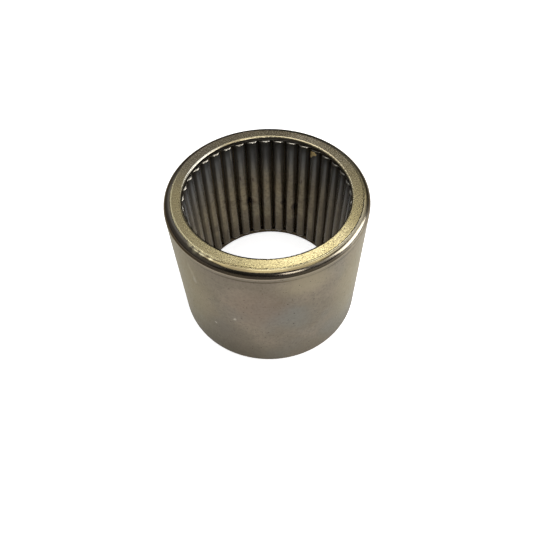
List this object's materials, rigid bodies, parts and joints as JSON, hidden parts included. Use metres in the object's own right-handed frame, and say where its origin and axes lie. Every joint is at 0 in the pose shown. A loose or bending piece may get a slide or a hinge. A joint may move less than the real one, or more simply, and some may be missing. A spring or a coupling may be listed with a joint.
{
  "type": "needle roller bearing",
  "caption": "Full-complement needle roller bearing: a drawn steel cup with flat, turned-in lips holds a close ring of trunnioned needles that roll between housing and shaft.",
  "frame": {"origin": "centre of the bearing's axis on the lower lip's face, on which it stands", "axes": "+Z along the bearing's axis, up to the lip that the picture shows; +Y away from the camera, through the first needle"},
  "size_m": [0.0476, 0.0476, 0.0381],
  "materials": {
    "cup_steel": "satin, case hardened, thinly oiled",
    "needle_steel": "ground and lapped"
  },
  "bodies": {
    "drawn_cup": {"drawn_cup": "cup_steel"},
    "needle_roller_01": {"needle_roller_01": "needle_steel"},
    "needle_roller_02": {"needle_roller_02": "needle_steel"},
    "needle_roller_03": {"needle_roller_03": "needle_steel"},
    "needle_roller_04": {"needle_roller_04": "needle_steel"},
    "needle_roller_05": {"needle_roller_05": "needle_steel"},
    "needle_roller_06": {"needle_roller_06": "needle_steel"},
    "needle_roller_07": {"needle_roller_07": "needle_steel"},
    "needle_roller_08": {"needle_roller_08": "needle_steel"},
    "needle_roller_09": {"needle_roller_09": "needle_steel"},
    "needle_roller_10": {"needle_roller_10": "needle_steel"},
    "needle_roller_11": {"needle_roller_11": "needle_steel"},
    "needle_roller_12": {"needle_roller_12": "needle_steel"},
    "needle_roller_13": {"needle_roller_13": "needle_steel"},
    "needle_roller_14": {"needle_roller_14": "needle_steel"},
    "needle_roller_15": {"needle_roller_15": "needle_steel"},
    "needle_roller_16": {"needle_roller_16": "needle_steel"},
    "needle_roller_17": {"needle_roller_17": "needle_steel"},
    "needle_roller_18": {"needle_roller_18": "needle_steel"},
    "needle_roller_19": {"needle_roller_19": "needle_steel"},
    "needle_roller_20": {"needle_roller_20": "needle_steel"},
    "needle_roller_21": {"needle_roller_21": "needle_steel"},
    "needle_roller_22": {"needle_roller_22": "needle_steel"},
    "needle_roller_23": {"needle_roller_23": "needle_steel"},
    "needle_roller_24": {"needle_roller_24": "needle_steel"},
    "needle_roller_25": {"needle_roller_25": "needle_steel"},
    "needle_roller_26": {"needle_roller_26": "needle_steel"},
    "needle_roller_27": {"needle_roller_27": "needle_steel"},
    "needle_roller_28": {"needle_roller_28": "needle_steel"},
    "needle_roller_29": {"needle_roller_29": "needle_steel"},
    "needle_roller_30": {"needle_roller_30": "needle_steel"},
    "needle_roller_31": {"needle_roller_31": "needle_steel"},
    "needle_roller_32": {"needle_roller_32": "needle_steel"},
    "needle_roller_33": {"needle_roller_33": "needle_steel"},
    "needle_roller_34": {"needle_roller_34": "needle_steel"},
    "needle_roller_35": {"needle_roller_35": "needle_steel"},
    "needle_roller_36": {"needle_roller_36": "needle_steel"}
  },
  "joints": [
    {"name": "roller_orbit", "type": "hinge", "parent": "drawn_cup", "child": "needle_roller_01", "pos_m": [0, 0, 0.01905], "axis": [0, 0, 1], "continuous": true},
    {"name": "spin_02", "type": "hinge", "parent": "needle_roller_01", "child": "needle_roller_02", "pos_m": [-0.00362, 0.02052, 0.01905], "axis": [0, 0, 1], "continuous": true},
    {"name": "spin_03", "type": "hinge", "parent": "needle_roller_01", "child": "needle_roller_03", "pos_m": [-0.00713, 0.01958, 0.01905], "axis": [0, 0, 1], "continuous": true},
    {"name": "spin_04", "type": "hinge", "parent": "needle_roller_01", "child": "needle_roller_04", "pos_m": [-0.01042, 0.01804, 0.01905], "axis": [0, 0, 1], "continuous": true},
    {"name": "spin_05", "type": "hinge", "parent": "needle_roller_01", "child": "needle_roller_05", "pos_m": [-0.01339, 0.01596, 0.01905], "axis": [0, 0, 1], "continuous": true},
    {"name": "spin_06", "type": "hinge", "parent": "needle_roller_01", "child": "needle_roller_06", "pos_m": [-0.01596, 0.01339, 0.01905], "axis": [0, 0, 1], "continuous": true},
    {"name": "spin_07", "type": "hinge", "parent": "needle_roller_01", "child": "needle_roller_07", "pos_m": [-0.01804, 0.01042, 0.01905], "axis": [0, 0, 1], "continuous": true},
    {"name": "spin_08", "type": "hinge", "parent": "needle_roller_01", "child": "needle_roller_08", "pos_m": [-0.01958, 0.00713, 0.01905], "axis": [0, 0, 1], "continuous": true},
    {"name": "spin_09", "type": "hinge", "parent": "needle_roller_01", "child": "needle_roller_09", "pos_m": [-0.02052, 0.00362, 0.01905], "axis": [0, 0, 1], "continuous": true},
    {"name": "spin_10", "type": "hinge", "parent": "needle_roller_01", "child": "needle_roller_10", "pos_m": [-0.02084, 0, 0.01905], "axis": [0, 0, 1], "continuous": true},
    {"name": "spin_11", "type": "hinge", "parent": "needle_roller_01", "child": "needle_roller_11", "pos_m": [-0.02052, -0.00362, 0.01905], "axis": [0, 0, 1], "continuous": true},
    {"name": "spin_12", "type": "hinge", "parent": "needle_roller_01", "child": "needle_roller_12", "pos_m": [-0.01958, -0.00713, 0.01905], "axis": [0, 0, 1], "continuous": true},
    {"name": "spin_13", "type": "hinge", "parent": "needle_roller_01", "child": "needle_roller_13", "pos_m": [-0.01804, -0.01042, 0.01905], "axis": [0, 0, 1], "continuous": true},
    {"name": "spin_14", "type": "hinge", "parent": "needle_roller_01", "child": "needle_roller_14", "pos_m": [-0.01596, -0.01339, 0.01905], "axis": [0, 0, 1], "continuous": true},
    {"name": "spin_15", "type": "hinge", "parent": "needle_roller_01", "child": "needle_roller_15", "pos_m": [-0.01339, -0.01596, 0.01905], "axis": [0, 0, 1], "continuous": true},
    {"name": "spin_16", "type": "hinge", "parent": "needle_roller_01", "child": "needle_roller_16", "pos_m": [-0.01042, -0.01804, 0.01905], "axis": [0, 0, 1], "continuous": true},
    {"name": "spin_17", "type": "hinge", "parent": "needle_roller_01", "child": "needle_roller_17", "pos_m": [-0.00713, -0.01958, 0.01905], "axis": [0, 0, 1], "continuous": true},
    {"name": "spin_18", "type": "hinge", "parent": "needle_roller_01", "child": "needle_roller_18", "pos_m": [-0.00362, -0.02052, 0.01905], "axis": [0, 0, 1], "continuous": true},
    {"name": "spin_19", "type": "hinge", "parent": "needle_roller_01", "child": "needle_roller_19", "pos_m": [0, -0.02084, 0.01905], "axis": [0, 0, 1], "continuous": true},
    {"name": "spin_20", "type": "hinge", "parent": "needle_roller_01", "child": "needle_roller_20", "pos_m": [0.00362, -0.02052, 0.01905], "axis": [0, 0, 1], "continuous": true},
    {"name": "spin_21", "type": "hinge", "parent": "needle_roller_01", "child": "needle_roller_21", "pos_m": [0.00713, -0.01958, 0.01905], "axis": [0, 0, 1], "continuous": true},
    {"name": "spin_22", "type": "hinge", "parent": "needle_roller_01", "child": "needle_roller_22", "pos_m": [0.01042, -0.01804, 0.01905], "axis": [0, 0, 1], "continuous": true},
    {"name": "spin_23", "type": "hinge", "parent": "needle_roller_01", "child": "needle_roller_23", "pos_m": [0.01339, -0.01596, 0.01905], "axis": [0, 0, 1], "continuous": true},
    {"name": "spin_24", "type": "hinge", "parent": "needle_roller_01", "child": "needle_roller_24", "pos_m": [0.01596, -0.01339, 0.01905], "axis": [0, 0, 1], "continuous": true},
    {"name": "spin_25", "type": "hinge", "parent": "needle_roller_01", "child": "needle_roller_25", "pos_m": [0.01804, -0.01042, 0.01905], "axis": [0, 0, 1], "continuous": true},
    {"name": "spin_26", "type": "hinge", "parent": "needle_roller_01", "child": "needle_roller_26", "pos_m": [0.01958, -0.00713, 0.01905], "axis": [0, 0, 1], "continuous": true},
    {"name": "spin_27", "type": "hinge", "parent": "needle_roller_01", "child": "needle_roller_27", "pos_m": [0.02052, -0.00362, 0.01905], "axis": [0, 0, 1], "continuous": true},
    {"name": "spin_28", "type": "hinge", "parent": "needle_roller_01", "child": "needle_roller_28", "pos_m": [0.02084, 0, 0.01905], "axis": [0, 0, 1], "continuous": true},
    {"name": "spin_29", "type": "hinge", "parent": "needle_roller_01", "child": "needle_roller_29", "pos_m": [0.02052, 0.00362, 0.01905], "axis": [0, 0, 1], "continuous": true},
    {"name": "spin_30", "type": "hinge", "parent": "needle_roller_01", "child": "needle_roller_30", "pos_m": [0.01958, 0.00713, 0.01905], "axis": [0, 0, 1], "continuous": true},
    {"name": "spin_31", "type": "hinge", "parent": "needle_roller_01", "child": "needle_roller_31", "pos_m": [0.01804, 0.01042, 0.01905], "axis": [0, 0, 1], "continuous": true},
    {"name": "spin_32", "type": "hinge", "parent": "needle_roller_01", "child": "needle_roller_32", "pos_m": [0.01596, 0.01339, 0.01905], "axis": [0, 0, 1], "continuous": true},
    {"name": "spin_33", "type": "hinge", "parent": "needle_roller_01", "child": "needle_roller_33", "pos_m": [0.01339, 0.01596, 0.01905], "axis": [0, 0, 1], "continuous": true},
    {"name": "spin_34", "type": "hinge", "parent": "needle_roller_01", "child": "needle_roller_34", "pos_m": [0.01042, 0.01804, 0.01905], "axis": [0, 0, 1], "continuous": true},
    {"name": "spin_35", "type": "hinge", "parent": "needle_roller_01", "child": "needle_roller_35", "pos_m": [0.00713, 0.01958, 0.01905], "axis": [0, 0, 1], "continuous": true},
    {"name": "spin_36", "type": "hinge", "parent": "needle_roller_01", "child": "needle_roller_36", "pos_m": [0.00362, 0.02052, 0.01905], "axis": [0, 0, 1], "continuous": true}
  ],
  "couplings": [
    {"joint": "spin_02", "follows": "roller_orbit", "ratio": -12.689},
    {"joint": "spin_03", "follows": "roller_orbit", "ratio": -12.689},
    {"joint": "spin_04", "follows": "roller_orbit", "ratio": -12.689},
    {"joint": "spin_05", "follows": "roller_orbit", "ratio": -12.689},
    {"joint": "spin_06", "follows": "roller_orbit", "ratio": -12.689},
    {"joint": "spin_07", "follows": "roller_orbit", "ratio": -12.689},
    {"joint": "spin_08", "follows": "roller_orbit", "ratio": -12.689},
    {"joint": "spin_09", "follows": "roller_orbit", "ratio": -12.689},
    {"joint": "spin_10", "follows": "roller_orbit", "ratio": -12.689},
    {"joint": "spin_11", "follows": "roller_orbit", "ratio": -12.689},
    {"joint": "spin_12", "follows": "roller_orbit", "ratio": -12.689},
    {"joint": "spin_13", "follows": "roller_orbit", "ratio": -12.689},
    {"joint": "spin_14", "follows": "roller_orbit", "ratio": -12.689},
    {"joint": "spin_15", "follows": "roller_orbit", "ratio": -12.689},
    {"joint": "spin_16", "follows": "roller_orbit", "ratio": -12.689},
    {"joint": "spin_17", "follows": "roller_orbit", "ratio": -12.689},
    {"joint": "spin_18", "follows": "roller_orbit", "ratio": -12.689},
    {"joint": "spin_19", "follows": "roller_orbit", "ratio": -12.689},
    {"joint": "spin_20", "follows": "roller_orbit", "ratio": -12.689},
    {"joint": "spin_21", "follows": "roller_orbit", "ratio": -12.689},
    {"joint": "spin_22", "follows": "roller_orbit", "ratio": -12.689},
    {"joint": "spin_23", "follows": "roller_orbit", "ratio": -12.689},
    {"joint": "spin_24", "follows": "roller_orbit", "ratio": -12.689},
    {"joint": "spin_25", "follows": "roller_orbit", "ratio": -12.689},
    {"joint": "spin_26", "follows": "roller_orbit", "ratio": -12.689},
    {"joint": "spin_27", "follows": "roller_orbit", "ratio": -12.689},
    {"joint": "spin_28", "follows": "roller_orbit", "ratio": -12.689},
    {"joint": "spin_29", "follows": "roller_orbit", "ratio": -12.689},
    {"joint": "spin_30", "follows": "roller_orbit", "ratio": -12.689},
    {"joint": "spin_31", "follows": "roller_orbit", "ratio": -12.689},
    {"joint": "spin_32", "follows": "roller_orbit", "ratio": -12.689},
    {"joint": "spin_33", "follows": "roller_orbit", "ratio": -12.689},
    {"joint": "spin_34", "follows": "roller_orbit", "ratio": -12.689},
    {"joint": "spin_35", "follows": "roller_orbit", "ratio": -12.689},
    {"joint": "spin_36", "follows": "roller_orbit", "ratio": -12.689}
  ]
}
